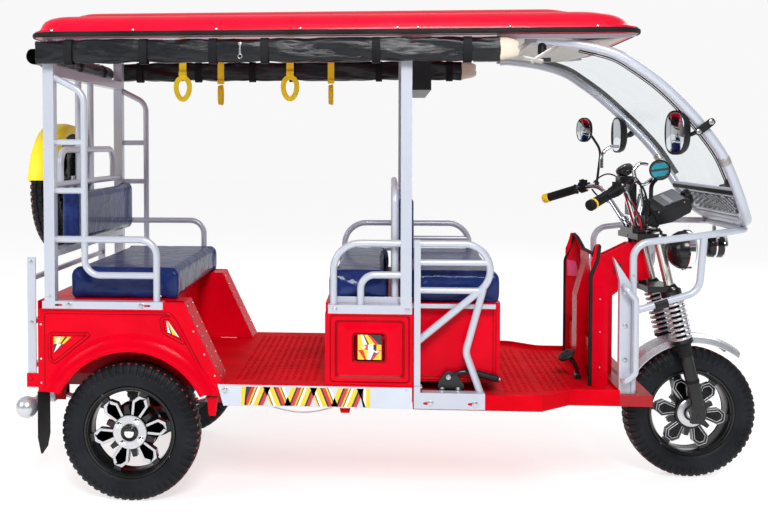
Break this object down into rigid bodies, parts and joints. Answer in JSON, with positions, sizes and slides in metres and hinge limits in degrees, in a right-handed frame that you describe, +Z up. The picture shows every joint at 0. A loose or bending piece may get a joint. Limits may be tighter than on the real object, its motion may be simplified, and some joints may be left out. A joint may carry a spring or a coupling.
{
  "type": "electric passenger rickshaw",
  "caption": "Open-sided electric passenger rickshaw with a red body, facing bench seats, a flat canopy roof, a curved windshield, a sprung front fork and a spare wheel at the back.",
  "frame": {"origin": "on the ground, midway along the vehicle and between its sides", "axes": "+X forward, +Y to the vehicle's left, +Z up"},
  "size_m": [2.7808, 1.0606, 1.7765],
  "materials": {
    "frame_paint": "gloss red chassis paint",
    "body_paint": "gloss red",
    "roof_paint": "gloss red",
    "sill_paint": "light grey-blue satin",
    "tube_paint": "silver white powder coat",
    "black_metal": "black semi gloss",
    "axle_paint": "black satin",
    "spring_steel": "satin",
    "chrome": "polished",
    "wheel_alloy": "black cast with machined edges",
    "tyre": "matte",
    "rubber": "matte",
    "seat_cover": "navy vinyl under clear film",
    "tarpaulin": "black coated canvas",
    "strap": "yellow webbing",
    "black_plastic": "textured",
    "liner": "off-white",
    "lamp_red": "red lens",
    "battery": "plain",
    "windshield": "clear acrylic",
    "screen_metal": "perforated"
  },
  "bodies": {
    "body": {"battery_pack": "battery", "bench_box": "body_paint", "bench_cushions": "seat_cover", "carrier_brackets": "body_paint", "chassis_frame": "frame_paint", "curtain_rolls": "tarpaulin", "driver_controls": "black_plastic", "driver_floor": "body_paint", "driver_guard_left": "tube_paint", "driver_guard_right": "tube_paint", "floor_pan": "body_paint", "front_guard": "tube_paint", "front_screen": "screen_metal", "hand_straps": "strap", "head_frame": "body_paint", "leaf_springs": "spring_steel", "leg_shield": "body_paint", "mid_frame_left": "tube_paint", "mid_frame_right": "tube_paint", "middle_backrest": "seat_cover", "middle_backrest_frame": "tube_paint", "mirrors": "black_plastic", "mudflaps": "rubber", "nose_lamp": "black_plastic", "overhead_box": "black_plastic", "rear_axle": "axle_paint", "rear_backrest": "seat_cover", "rear_body_side_left": "body_paint", "rear_body_side_right": "body_paint", "rear_bumper": "chrome", "rear_cross_frame": "tube_paint", "rear_panel": "body_paint", "rear_seat_base": "body_paint", "rear_seat_cushion": "seat_cover", "rear_side_frame_left": "tube_paint", "rear_side_frame_right": "tube_paint", "roof_frame": "tube_paint", "roof_liner": "liner", "roof_shell": "roof_paint", "sill_panels": "sill_paint", "spare_bracket": "tube_paint", "spare_cover": "strap", "spare_wheel": "tyre", "tail_lamps": "lamp_red", "windshield_frame": "tube_paint", "windshield_glass": "windshield"},
    "steering": {"fork": "black_metal", "fork_springs": "spring_steel", "front_fender": "chrome", "handlebar": "chrome", "console": "black_plastic", "headlamps": "black_plastic", "handlebar_mirrors": "black_plastic"},
    "front_wheel": {"front_tyre": "tyre", "front_wheel": "wheel_alloy"},
    "rear_wheel_right": {"rear_tyre_right": "tyre", "rear_wheel_right": "wheel_alloy"},
    "rear_wheel_left": {"rear_tyre_left": "tyre", "rear_wheel_left": "wheel_alloy"},
    "luggage_carrier": {"luggage_carrier": "tube_paint"}
  },
  "joints": [
    {"name": "steering", "type": "hinge", "parent": "body", "child": "steering", "pos_m": [0.927, 0, 0.908], "axis": [-0.2394, 0, 0.9709], "range_deg": [-44.5, 35.5]},
    {"name": "front_wheel_spin", "type": "hinge", "parent": "steering", "child": "front_wheel", "pos_m": [1.14384, 0.00417, 0.24996], "axis": [-0.0762, 0.9969, -0.0188], "continuous": true},
    {"name": "rear_wheel_right_spin", "type": "hinge", "parent": "body", "child": "rear_wheel_right", "pos_m": [-0.939, -0.42, 0.25], "axis": [0, 1, 0], "continuous": true},
    {"name": "rear_wheel_left_spin", "type": "hinge", "parent": "body", "child": "rear_wheel_left", "pos_m": [-0.939, 0.42, 0.25], "axis": [0, 1, 0], "continuous": true},
    {"name": "carrier_fold", "type": "hinge", "parent": "body", "child": "luggage_carrier", "pos_m": [-1.298, 0, 0.437], "axis": [0, -1, 0], "range_deg": [0, 90]}
  ]
}
